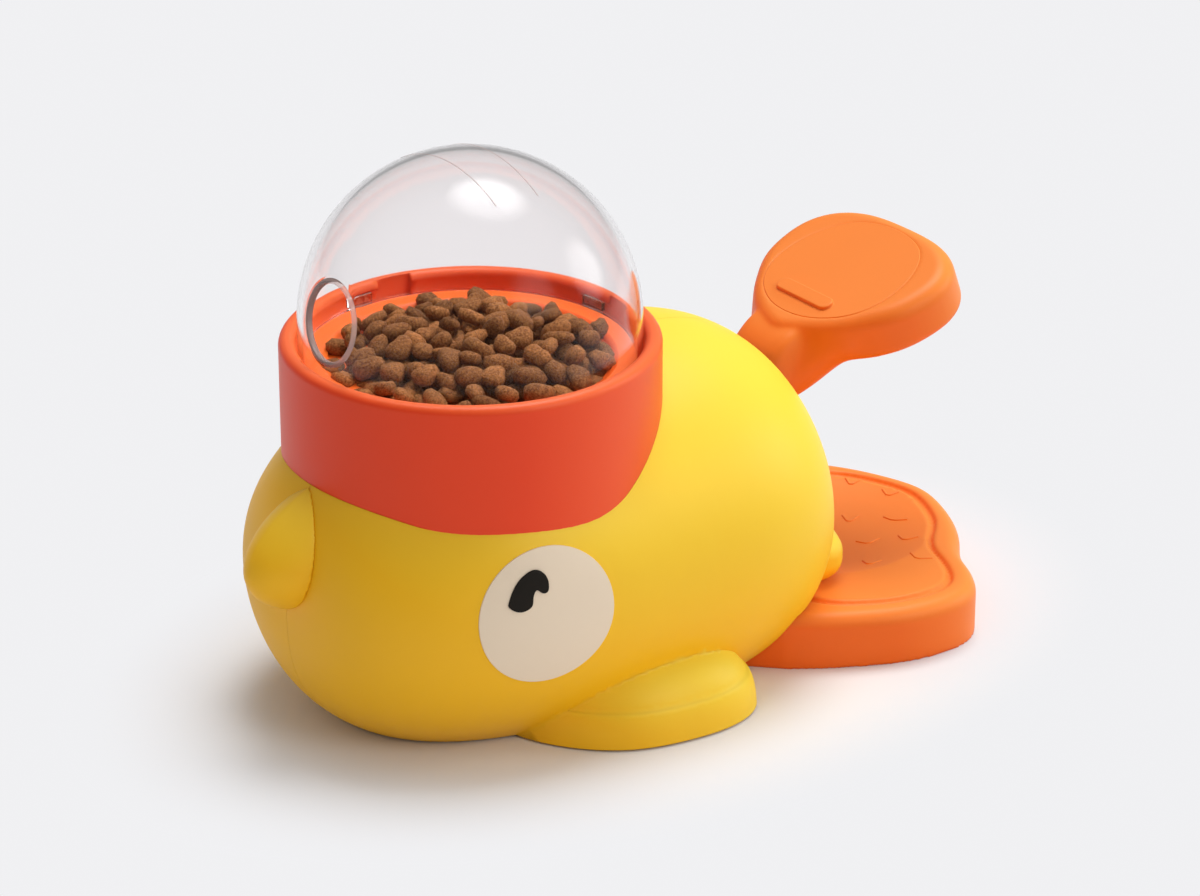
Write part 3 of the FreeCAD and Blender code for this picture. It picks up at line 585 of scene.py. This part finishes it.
def ridgeTree(name, material):
    # A fine round ridge along every line of the mesh
    tree = bpy.data.node_groups.new(name, "GeometryNodeTree")
    face = tree.interface
    face.new_socket("Geometry", in_out="INPUT", socket_type="NodeSocketGeometry")
    ridge = face.new_socket("Ridge", in_out="INPUT", socket_type="NodeSocketFloat")
    face.new_socket("Geometry", in_out="OUTPUT", socket_type="NodeSocketGeometry")
    into = addNode(tree, "NodeGroupInput")
    out = addNode(tree, "NodeGroupOutput")
    link = tree.links.new
    path = addNode(tree, "GeometryNodeMeshToCurve")
    link(into.outputs["Geometry"], path.inputs["Mesh"])
    section = addNode(tree, "GeometryNodeCurvePrimitiveCircle", {"Resolution": ridgeSides})
    link(into.outputs["Ridge"], section.inputs["Radius"])
    sweep = addNode(tree, "GeometryNodeCurveToMesh", {"Fill Caps": True})
    link(path.outputs["Curve"], sweep.inputs["Curve"])
    link(section.outputs["Curve"], sweep.inputs["Profile Curve"])
    smooth = addNode(tree, "GeometryNodeSetShadeSmooth")
    link(sweep.outputs["Mesh"], smooth.inputs["Geometry"])
    real = addNode(tree, "GeometryNodeRealizeInstances")
    link(smooth.outputs["Geometry"], real.inputs["Geometry"])
    paint = addNode(tree, "GeometryNodeSetMaterial", {"Material": material})
    link(real.outputs["Geometry"], paint.inputs["Geometry"])
    link(paint.outputs["Geometry"], out.inputs["Geometry"])
    return tree, ridge.identifier


def raiseRidges(name, lines, material, ridge, body):
    points, edges = [], []
    for line in lines:
        for i, point in enumerate(line):
            points.append(point)
            if i:
                edges.append((len(points) - 2, len(points) - 1))
    mesh = bpy.data.meshes.new(name)
    mesh.from_pydata(points, edges, [])
    piece = pieceFromMesh(name, mesh, material)
    tree, socket = ridgeTree(name, material)
    sweep = piece.modifiers.new("sweep", "NODES")
    sweep.node_group = tree
    sweep[socket] = ridge * mm
    applyModifiers(piece)
    handIn(piece, body, None)


def buildMarks(s):
    surface = surfaceOf(tray.data)
    down, sink = Vector((0, 0, -1)), Vector((0, 0, s["sunk"] * mm))
    lines = []
    for apex, first, second in s["marks"]:
        plan = []
        for length, degrees, order in ((*first, -1), (*second, 1)):
            turn = math.radians(degrees)
            along = Vector((math.cos(turn), math.sin(turn)))
            arm = [Vector(apex) + along * length * i / s["steps"]
                   for i in range(1, s["steps"] + 1)]
            plan = plan + arm if order > 0 else arm[::-1]
        starts = [Vector((*(place * mm), s["castFrom"] * mm)) for place in plan]
        lines.append([surface.ray_cast(start, down)[0] - sink for start in starts])
    raiseRidges("gripMarks", lines, orangePlastic, s["ridge"], "tray")


buildMarks(markSettings)
print("grip marks done")


# Dome

domeSettings = {
    "centre": (-58.0, 0.0, 141.0),
    "radius": 60.3,
    "wall": 2.0,
    "foot": 127.8,
    "wallDrop": 40.0,  # the straight wall goes this far below the middle before it is cut
    "holeTilt": 11.6,
    "lip": ((15.3, 0.03), (15.0, 0.16), (14.75, 0.42), (14.4, 0.66), (14.05, 0.72), (13.75, 0.62),
            (13.5, 0.36), (13.4, 0.0), (13.35, -0.7), (13.4, -1.3), (13.55, -1.7), (13.9, -1.95)),
    "rings": 90,
    "spokes": 160,
    "sharp": 45,
    "tabs": (-82.6, 7.4, 97.4, -172.6),
    "tabHalf": 5.0,
    "tabSteps": 8,
    "tabReach": (60.33, 62.0),
    "tabHeight": (128.1, 131.2),
}


def wallPoint(direction, reach, s):
    # A ball above its middle and a straight wall below it
    flat = math.hypot(direction.x, direction.y)
    if direction.z >= 0 or flat == 0:
        return direction * reach * mm
    drop = max(s["radius"] * direction.z / flat, -s["wallDrop"])
    return Vector((direction.x / flat * reach, direction.y / flat * reach, drop)) * mm


def domeProfile(s):
    # Turn from the hole's axis and distance from the middle, up the outside and back inside
    inside = s["radius"] - s["wall"]
    lip = [(math.asin(r / (s["radius"] + h)), s["radius"] + h) for r, h in s["lip"]]
    count = s["rings"]
    outer = [(math.pi - (math.pi - lip[0][0]) * i / count, s["radius"]) for i in range(1, count)]
    inner = [(lip[-1][0] + (math.pi - lip[-1][0]) * i / count, inside) for i in range(1, count)]
    return outer + lip + inner


def addTab(body, angle, s):
    # Bayonet lug low on the outside of the wall
    x, y, z = s["centre"]
    rows = []
    for i in range(s["tabSteps"] + 1):
        turn = math.radians(angle - s["tabHalf"] + 2 * s["tabHalf"] * i / s["tabSteps"])
        row = []
        for reach, height in ((0, 0), (1, 0), (1, 1), (0, 1)):
            radius = s["tabReach"][reach]
            place = (x + radius * math.cos(turn), y + radius * math.sin(turn),
                     s["tabHeight"][height])
            row.append(body.verts.new(Vector(place) * mm))
        rows.append(row)
    joinRows(body, rows)
    body.faces.new(rows[0])
    body.faces.new(rows[-1])


def buildDome(s):
    centre = Vector(s["centre"]) * mm
    tilt = math.radians(s["holeTilt"])
    axis = Vector((-math.cos(tilt), 0, math.sin(tilt)))
    across = Vector((0, 1, 0))
    upward = axis.cross(across)
    body = bmesh.new()
    rows = []
    for turn, reach in domeProfile(s):
        row = []
        for j in range(s["spokes"]):
            spin = 2 * math.pi * j / s["spokes"]
            out = across * math.cos(spin) + upward * math.sin(spin)
            direction = axis * math.cos(turn) + out * math.sin(turn)
            row.append(body.verts.new(centre + wallPoint(direction, reach, s)))
        rows.append(row)
    lip = range(s["rings"] - 1, s["rings"] + len(s["lip"]) - 2)
    for i, (low, high) in enumerate(zip(rows, rows[1:])):
        for j in range(s["spokes"]):
            k = (j + 1) % s["spokes"]
            face = body.faces.new((low[j], low[k], high[k], high[j]))
            face.material_index = 1 if i in lip else 0
    body.faces.new(rows[0])
    body.faces.new(rows[-1])
    everything = body.verts[:] + body.edges[:] + body.faces[:]
    bmesh.ops.bisect_plane(body, geom=everything, dist=1e-7, plane_co=(0, 0, s["foot"] * mm),
                           plane_no=(0, 0, 1), clear_inner=True)
    bmesh.ops.bridge_loops(body, edges=[e for e in body.edges if e.is_boundary])
    for angle in s["tabs"]:
        addTab(body, angle, s)
    bmesh.ops.recalc_face_normals(body, faces=body.faces)
    mesh = bpy.data.meshes.new("dome")
    # The lip's material carries the painted reflection tint of the collar
    for material in (domePlastic, domeRim):  # before the faces, or they lose their indices
        mesh.materials.append(material)
    body.to_mesh(mesh)
    body.free()
    piece = bpy.data.objects.new("clearDome", mesh)
    scene.collection.objects.link(piece)
    smoothByAngle(piece, s["sharp"])
    handIn(piece, "dome", "dome")


buildDome(domeSettings)

bandSettings = {
    "offset": 8.6,  # both lines run across the crown, this far from its middle
    "reach": 29.0,
    "steps": 40,
    "ridge": 0.2,
    "sunk": 0.12,
}


def buildBandLines(s, shape):
    x, y, z = shape["centre"]
    lines = []
    for side in (-1, 1):
        line = []
        for i in range(s["steps"] + 1):
            across = s["reach"] * (2 * i / s["steps"] - 1)
            rise = math.sqrt(shape["radius"] ** 2 - s["offset"] ** 2 - across ** 2) - s["sunk"]
            line.append(Vector((x + side * s["offset"], y + across, z + rise)) * mm)
        lines.append(line)
    # The lines take the rim's tint, a painted reflection of the collar's colour
    raiseRidges("bandLines", lines, domeRim, s["ridge"], "dome")


buildBandLines(bandSettings, domeSettings)
print("dome done")


# Kibble heaped in the bowl

kibbleSettings = {
    "centre": (-58.0, 0.0),
    "heapRadius": 49.5,
    "crownHeight": 135.0,
    "edgeHeight": 126.4,
    "heapRings": 14,
    "heapSpokes": 48,
    "fillerDrop": 7.0,  # a plain heap below the lumps closes the gaps between them
    "layers": (("Lower", -5.5, 6.6, 3), ("Upper", 0.0, 7.4, 8)),  # lift, spacing and seed
    "densest": 40000.0,  # points per square metre
    "bob": (0.5, 0.5, 1.6),
    "lean": 0.75,  # radians
    "spin": 6.28,
    "scale": (0.78, 1.16),
}
lumpSettings = {
    "seed": 12,
    "count": 5,
    "detail": 2,
    "size": 5.2,
    "wide": (0.85, 1.1),
    "deep": (0.72, 0.95),
    "tall": (0.5, 0.7),
    "spin": 6.28,
    "swell": (0.15, 0.13),  # two and three bulges around the rim
    "dent": 0.25,
    "dentPlace": 0.2,
    "dentSharpness": -6,
    "boxiness": 0.8,
    "rough": 0.045,
}


def kibbleShapes(s):
    # Different baked lumps of a few hundred faces each
    shapes = bpy.data.collections.new("kibbleShapes")
    random.seed(s["seed"])
    for i in range(s["count"]):
        body = bmesh.new()
        bmesh.ops.create_icosphere(body, subdivisions=s["detail"], radius=1.0)
        wide, deep = random.uniform(*s["wide"]), random.uniform(*s["deep"])
        tall = random.uniform(*s["tall"])
        lean = random.uniform(0, s["spin"])
        for v in body.verts:
            x, y, z = v.co
            angle = math.atan2(y, x)
            swell = (1 + s["swell"][0] * math.cos(2 * angle + lean)
                     + s["swell"][1] * math.cos(3 * angle + 2 * lean))
            near = math.exp(s["dentSharpness"] * ((x - s["dentPlace"]) ** 2 + y ** 2))
            dent = 1 - s["dent"] * near
            flat = math.copysign(abs(z) ** s["boxiness"], z)
            v.co = Vector((x * wide * swell, y * deep * swell, flat * tall * dent))
            v.co += Vector([random.uniform(-s["rough"], s["rough"]) for axis in range(3)])
            v.co *= s["size"] * mm
        mesh = meshFrom("kibbleShape", body)
        mesh.shade_smooth()
        shape = bpy.data.objects.new("kibbleShape%d" % i, mesh)
        shapes.objects.link(shape)
    return shapes


def heapMesh(s):
    # Domed disc that carries the kibble
    body = bmesh.new()
    cx, cy = s["centre"]
    rings, spokes = s["heapRings"], s["heapSpokes"]
    middle = body.verts.new(Vector((cx, cy, s["crownHeight"])) * mm)
    rows = []
    for i in range(1, rings + 1):
        reach = i / rings
        height = s["edgeHeight"] + (s["crownHeight"] - s["edgeHeight"]) * (1 - reach ** 2)
        row = []
        for j in range(spokes):
            turn = 2 * math.pi * j / spokes
            x = cx + s["heapRadius"] * reach * math.cos(turn)
            y = cy + s["heapRadius"] * reach * math.sin(turn)
            row.append(body.verts.new(Vector((x, y, height)) * mm))
        rows.append(row)
    for j in range(spokes):
        body.faces.new((middle, rows[0][j], rows[0][(j + 1) % spokes]))
    joinRows(body, rows)
    return meshFrom("heap", body)


def kibbleTree(shapes, s):
    tree = bpy.data.node_groups.new("kibbleHeap", "GeometryNodeTree")
    face = tree.interface
    face.new_socket("Geometry", in_out="INPUT", socket_type="NodeSocketGeometry")
    spacing = face.new_socket("Spacing", in_out="INPUT", socket_type="NodeSocketFloat")
    lift = face.new_socket("Lift", in_out="INPUT", socket_type="NodeSocketFloat")
    seed = face.new_socket("Seed", in_out="INPUT", socket_type="NodeSocketInt")
    face.new_socket("Geometry", in_out="OUTPUT", socket_type="NodeSocketGeometry")
    into = addNode(tree, "NodeGroupInput")
    out = addNode(tree, "NodeGroupOutput")
    link = tree.links.new

    def randomValue(kind, values):
        node = addNode(tree, "FunctionNodeRandomValue", values)
        node.data_type = kind
        return node

    scatter = addNode(tree, "GeometryNodeDistributePointsOnFaces")
    scatter.distribute_method = "POISSON"
    fill(scatter, {"Density Max": s["densest"]})
    link(into.outputs["Geometry"], scatter.inputs["Mesh"])
    link(into.outputs["Spacing"], scatter.inputs["Distance Min"])
    link(into.outputs["Seed"], scatter.inputs["Seed"])

    shift = Vector(s["bob"]) * mm
    bob = randomValue("FLOAT_VECTOR", {0: -shift, 1: shift})
    link(into.outputs["Seed"], bob.inputs["Seed"])
    rise = addNode(tree, "ShaderNodeCombineXYZ")
    link(into.outputs["Lift"], rise.inputs["Z"])
    total = addNode(tree, "ShaderNodeVectorMath")
    link(bob.outputs[0], total.inputs[0])
    link(rise.outputs[0], total.inputs[1])
    move = addNode(tree, "GeometryNodeSetPosition")
    link(scatter.outputs["Points"], move.inputs["Geometry"])
    link(total.outputs[0], move.inputs["Offset"])

    source = addNode(tree, "GeometryNodeCollectionInfo",
                     {"Collection": shapes, "Separate Children": True})
    lean = s["lean"]
    turn = randomValue("FLOAT_VECTOR", {0: (-lean, -lean, 0.0), 1: (lean, lean, s["spin"])})
    link(into.outputs["Seed"], turn.inputs["Seed"])
    size = randomValue("FLOAT", {2: s["scale"][0], 3: s["scale"][1]})
    link(into.outputs["Seed"], size.inputs["Seed"])
    place = addNode(tree, "GeometryNodeInstanceOnPoints", {"Pick Instance": True})
    link(move.outputs["Geometry"], place.inputs["Points"])
    link(source.outputs["Instances"], place.inputs["Instance"])
    link(turn.outputs[0], place.inputs["Rotation"])
    link(size.outputs[1], place.inputs["Scale"])

    tone = randomValue("FLOAT", {})
    keep = addNode(tree, "GeometryNodeStoreNamedAttribute", {"Name": "tone"})
    keep.data_type = "FLOAT"
    keep.domain = "INSTANCE"
    link(place.outputs["Instances"], keep.inputs["Geometry"])
    link(tone.outputs[1], keep.inputs["Value"])
    real = addNode(tree, "GeometryNodeRealizeInstances")
    link(keep.outputs["Geometry"], real.inputs["Geometry"])
    paint = addNode(tree, "GeometryNodeSetMaterial", {"Material": kibbleCrustMaterial})
    link(real.outputs["Geometry"], paint.inputs["Geometry"])
    link(paint.outputs["Geometry"], out.inputs["Geometry"])
    return tree, (lift.identifier, spacing.identifier, seed.identifier)


def buildKibble(s, lumps):
    shapes = kibbleShapes(lumps)
    tree, (lift, spacing, seed) = kibbleTree(shapes, s)
    layers = []
    for name, height, gap, draw in s["layers"]:
        layer = pieceFromMesh("kibble" + name, heapMesh(s), kibbleCrustMaterial)
        modifier = layer.modifiers.new("heap", "NODES")
        modifier.node_group = tree
        modifier[spacing] = gap * mm
        modifier[lift] = height * mm
        modifier[seed] = draw
        applyModifiers(layer)
        layers.append(layer)
    body = bmesh.new()
    for layer in layers:
        body.from_mesh(layer.data)
    filler = heapMesh(s)
    filler.transform(Matrix.Translation((0, 0, -s["fillerDrop"] * mm)))
    body.from_mesh(filler)
    mesh = meshFrom("kibbleHeap", body)
    for spare in layers + list(shapes.objects):
        bpy.data.objects.remove(spare)
    mesh.shade_smooth()
    piece = pieceFromMesh("kibbleHeap", mesh, kibbleCrustMaterial)
    return handIn(piece, "base", "kibble_fill")


kibble = buildKibble(kibbleSettings, lumpSettings)
print("kibble done,", len(kibble.data.polygons), "faces")


# Inner works and fasteners keep their nodes and get their finishes

finishes = {
    "gate_deck": innerPlastic, "chute": innerPlastic, "side_frame_left": innerPlastic,
    "side_frame_right": innerPlastic, "gate_slide": slidePlastic, "bush_left": bushPlastic,
    "bush_right": bushPlastic, "lever_axle": pivotSteel, "drive_pin": pivotSteel,
    "axle_clips": springSteel, "return_spring": springSteel, "base_plate": yellowPlastic,
    "rubber_pads": footRubber, "base_screws": screwSteel, "frame_screws": screwSteel,
    "shell_screws": screwSteel, "collar_screws": screwSteel,
}
for node, material in finishes.items():
    useMaterial(nodes[node], material)
print("inner works done")


# Studio

studio = {
    "floorHalf": 4.0,
    "floor": {"Base Color": (0.80, 0.80, 0.815, 1.0), "Roughness": 0.9,
              "Specular IOR Level": 0.1},
    "paperColor": (0.875, 0.875, 0.892, 1.0),
    "paperReach": (0.158, 0.108, 1.0),  # half widths of the ground that keeps its shadows
    "paperFade": {"From Min": 0.8, "From Max": 1.34},
    "worldStrength": 0.367,
    "lamps": (  # name, place, aim, width, power
        ("overhead", (0.62, 0.37, 2.2), (0.0, 0.0, 0.08), 1.6, 70.6),
        ("rightSide", (2.3, -1.1, 1.1), (0.0, 0.0, 0.08), 1.6, 34.6),
        ("frontRight", (0.5, -2.0, 1.3), (0.0, 0.0, 0.08), 1.4, 22.3),
    ),
    "lampMiddle": (0.5, 0.5, 0.0),
    "lampFade": {"From Min": 0.22, "From Max": 0.58, "To Min": 1.0, "To Max": 0.0},
    "cameraAt": (-0.8724, -1.1977, 0.7358),
    "cameraLooksAt": (-0.0215, -0.0265, 0.0912),
    "lens": 135.0,
    "sensor": 36.0,
    "seesUpTo": 50.0,
}


def paperBeyondShadows(tree, shader, s):
    # Away from the feeder the floor is seen as even white paper, near it the shadows stay
    link = tree.links.new
    place = addNode(tree, "ShaderNodeTexCoord")
    squeeze = addNode(tree, "ShaderNodeVectorMath", {1: s["paperReach"]})
    squeeze.operation = "DIVIDE"
    link(place.outputs["Object"], squeeze.inputs[0])
    reach = addNode(tree, "ShaderNodeVectorMath")
    reach.operation = "LENGTH"
    link(squeeze.outputs[0], reach.inputs[0])
    fade = addNode(tree, "ShaderNodeMapRange", s["paperFade"])
    fade.interpolation_type = "SMOOTHSTEP"
    link(reach.outputs["Value"], fade.inputs["Value"])
    ray = addNode(tree, "ShaderNodeLightPath")
    seen = addNode(tree, "ShaderNodeMath")
    seen.operation = "MAXIMUM"
    link(ray.outputs["Is Camera Ray"], seen.inputs[0])
    link(ray.outputs["Is Transmission Ray"], seen.inputs[1])
    share = addNode(tree, "ShaderNodeMath")
    share.operation = "MULTIPLY"
    link(seen.outputs[0], share.inputs[0])
    link(fade.outputs["Result"], share.inputs[1])
    paper = addNode(tree, "ShaderNodeEmission", {"Color": s["paperColor"]})
    mix = addNode(tree, "ShaderNodeMixShader")
    link(share.outputs[0], mix.inputs["Fac"])
    link(shader.outputs["BSDF"], mix.inputs[1])
    link(paper.outputs["Emission"], mix.inputs[2])
    link(mix.outputs["Shader"], tree.nodes["Material Output"].inputs["Surface"])


def buildFloor(s):
    half = s["floorHalf"]
    corners = [(-half, -half, 0), (half, -half, 0), (half, half, 0), (-half, half, 0)]
    mesh = bpy.data.meshes.new("floor")
    mesh.from_pydata(corners, [], [(0, 1, 2, 3)])
    material, tree, shader = newMaterial("studioFloor")
    fill(shader, s["floor"])
    paperBeyondShadows(tree, shader, s)
    floor = pieceFromMesh("studioFloor", mesh, material)


def aimAt(thing, place, target):
    thing.location = place
    aim = Vector(target) - Vector(place)
    thing.rotation_euler = aim.to_track_quat("-Z", "Y").to_euler()


def softBox(s, name, place, target, width, power):
    # A square lamp that fades towards its edges, as cloth over a softbox does
    data = bpy.data.lights.new(name, "AREA")
    data.shape = "SQUARE"
    data.size = width
    data.energy = power
    data.use_nodes = True
    tree = data.node_tree
    where = addNode(tree, "ShaderNodeNewGeometry")
    centred = addNode(tree, "ShaderNodeVectorMath", {1: s["lampMiddle"]})
    centred.operation = "DISTANCE"
    fade = addNode(tree, "ShaderNodeMapRange", s["lampFade"])
    fade.interpolation_type = "SMOOTHSTEP"
    tree.links.new(where.outputs["Parametric"], centred.inputs[0])
    tree.links.new(centred.outputs["Value"], fade.inputs["Value"])
    tree.links.new(fade.outputs["Result"], tree.nodes["Emission"].inputs["Strength"])
    lamp = bpy.data.objects.new(name, data)
    scene.collection.objects.link(lamp)
    aimAt(lamp, place, target)


def buildStudio(s):
    buildFloor(s)
    world = bpy.data.worlds.new("studio")
    world.use_nodes = True
    fill(world.node_tree.nodes["Background"],
         {"Color": (1, 1, 1, 1), "Strength": s["worldStrength"]})
    scene.world = world
    for lamp in s["lamps"]:
        softBox(s, *lamp)
    data = bpy.data.cameras.new("camera")
    data.sensor_width = s["sensor"]
    data.lens = s["lens"]
    data.clip_end = s["seesUpTo"]
    camera = bpy.data.objects.new("camera", data)
    scene.collection.objects.link(camera)
    aimAt(camera, s["cameraAt"], s["cameraLooksAt"])
    scene.camera = camera
    scene.view_settings.view_transform = "Standard"


buildStudio(studio)
print("studio done")
